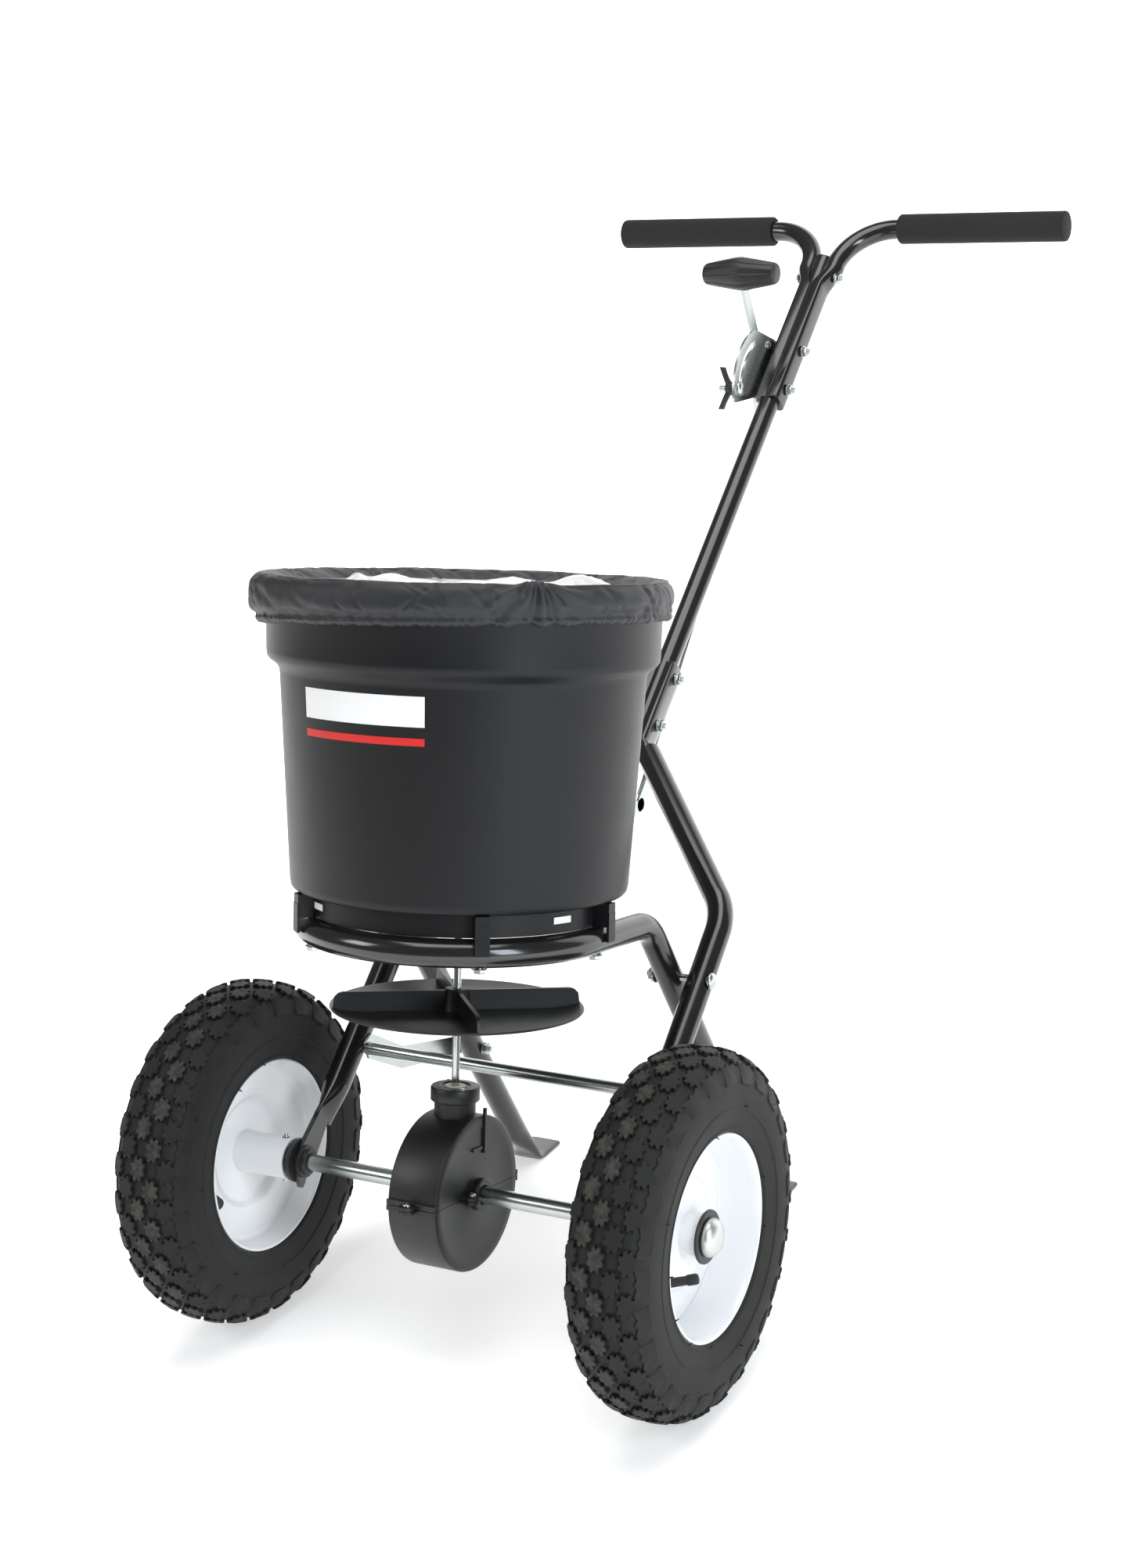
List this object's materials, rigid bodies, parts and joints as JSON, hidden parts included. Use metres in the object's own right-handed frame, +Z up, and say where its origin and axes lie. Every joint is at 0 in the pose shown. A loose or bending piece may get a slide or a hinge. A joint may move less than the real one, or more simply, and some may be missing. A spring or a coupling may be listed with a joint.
{
  "type": "push broadcast spreader",
  "caption": "Walk-behind broadcast spreader: a covered round hopper on a tubular frame over a geared spinner, with pneumatic wheels, T handle and feed lever.",
  "frame": {"origin": "centre of the bounding box on the floor that both tyres and both feet stand on", "axes": "+Z up, +Y from the wheels towards the handlebars, +X to the operator's right when pushing"},
  "size_m": [0.5472, 1.1606, 0.911],
  "materials": {
    "black_paint": "gloss powder coat",
    "zinc_plate": "bright zinc plate",
    "white_paint": "gloss",
    "tyre_rubber": "matt moulded rubber",
    "valve_rubber": "matt",
    "hopper_plastic": "satin moulded",
    "black_plastic": "satin moulded",
    "grip_foam": "matt closed-cell foam",
    "gear_nylon": "natural nylon",
    "nylon_cloth": "coated woven nylon"
  },
  "bodies": {
    "frame": {"support_tube": "black_paint", "front_tube_left": "black_paint", "front_tube_right": "black_paint", "frame_bolt_left": "zinc_plate", "frame_bolt_right": "zinc_plate", "brace_strap_left": "zinc_plate", "brace_strap_right": "zinc_plate", "strap_bolt_left": "zinc_plate", "strap_bolt_right": "zinc_plate", "brace_rod": "zinc_plate", "handle_tube": "black_paint", "handlebar_left": "black_paint", "handlebar_right": "black_paint", "grip_left": "grip_foam", "grip_right": "grip_foam", "lever_pivot_bolt": "zinc_plate", "handlebar_bolt_middle": "zinc_plate", "handlebar_bolt_top": "zinc_plate", "handle_bolt_lower": "zinc_plate", "handle_bolt_upper": "zinc_plate", "quadrant_plate": "zinc_plate", "hopper_bolt_front_left": "zinc_plate", "hopper_bolt_front_right": "zinc_plate", "hopper_bolt_side_left": "zinc_plate", "hopper_bolt_side_right": "zinc_plate", "hopper": "hopper_plastic", "gearbox_top": "black_plastic", "gearbox_bottom": "black_plastic", "gearbox_screw_front": "zinc_plate", "gearbox_screw_rear": "zinc_plate", "gearbox_screw_side": "zinc_plate", "gearbox_cap": "black_plastic", "axle_bushing_left": "black_plastic", "axle_bushing_right": "black_plastic"},
    "drive_axle": {"axle": "zinc_plate", "drive_gear": "gear_nylon", "drive_pin": "zinc_plate", "tyre_left": "tyre_rubber", "rim_left": "white_paint", "valve_stem_left": "valve_rubber", "hub_bushing_left": "black_plastic", "axle_cap_left": "zinc_plate", "axle_cap_right": "zinc_plate"},
    "free_wheel": {"tyre_right": "tyre_rubber", "rim_right": "white_paint", "valve_stem_right": "valve_rubber", "hub_bushing_right": "black_plastic"},
    "spinner_drive": {"spinner_shaft": "zinc_plate", "pinion": "gear_nylon", "spinner": "black_plastic", "agitator": "gear_nylon"},
    "feed_lever": {"control_lever": "zinc_plate", "lever_knob": "black_plastic"},
    "feed_rod": {"control_rod": "zinc_plate", "rod_nut": "zinc_plate", "shutter_link": "zinc_plate"},
    "shutter_plate": {"shutter": "zinc_plate"},
    "stop_carriage": {"stop_bolt": "zinc_plate"},
    "stop_wing": {"wing_nut": "black_plastic"},
    "cover": {"rain_cover": "nylon_cloth"}
  },
  "joints": [
    {"name": "axle_turn", "type": "hinge", "parent": "frame", "child": "drive_axle", "pos_m": [0, -0.41555, 0.16496], "axis": [1, 0, 0], "continuous": true},
    {"name": "free_wheel_turn", "type": "hinge", "parent": "drive_axle", "child": "free_wheel", "pos_m": [0.2356, -0.41555, 0.16496], "axis": [1, 0, 0], "continuous": true},
    {"name": "spinner_turn", "type": "hinge", "parent": "frame", "child": "spinner_drive", "pos_m": [0, -0.37818, 0.33081], "axis": [0, 0.2198, 0.9755], "continuous": true},
    {"name": "lever_swing", "type": "hinge", "parent": "frame", "child": "feed_lever", "pos_m": [-0.0211, 0.37174, 0.74917], "axis": [1, 0, 0], "range_deg": [0, 66]},
    {"name": "rod_draw", "type": "slide", "parent": "frame", "child": "feed_rod", "axis": [0, 0.7944, 0.6074], "range_m": [0, 0.0443]},
    {"name": "shutter_draw", "type": "slide", "parent": "frame", "child": "shutter_plate", "axis": [0, 0.9755, -0.2198], "range_m": [0, 0.0285]},
    {"name": "stop_set", "type": "hinge", "parent": "frame", "child": "stop_carriage", "pos_m": [-0.018, 0.37174, 0.74917], "axis": [1, 0, 0], "range_deg": [-64, 0]},
    {"name": "wing_nut_turn", "type": "hinge", "parent": "stop_carriage", "child": "stop_wing", "pos_m": [-0.036, 0.32052, 0.76072], "axis": [1, 0, 0], "range_deg": [0, 180]},
    {"name": "cover_lift", "type": "slide", "parent": "frame", "child": "cover", "axis": [0, 0.2198, 0.9755], "range_m": [0, 0.08]}
  ],
  "couplings": [
    {"joint": "spinner_turn", "follows": "axle_turn", "ratio": 6},
    {"joint": "rod_draw", "follows": "lever_swing", "m_per_rad": 0.0383},
    {"joint": "shutter_draw", "follows": "lever_swing", "m_per_rad": 0.0246}
  ]
}
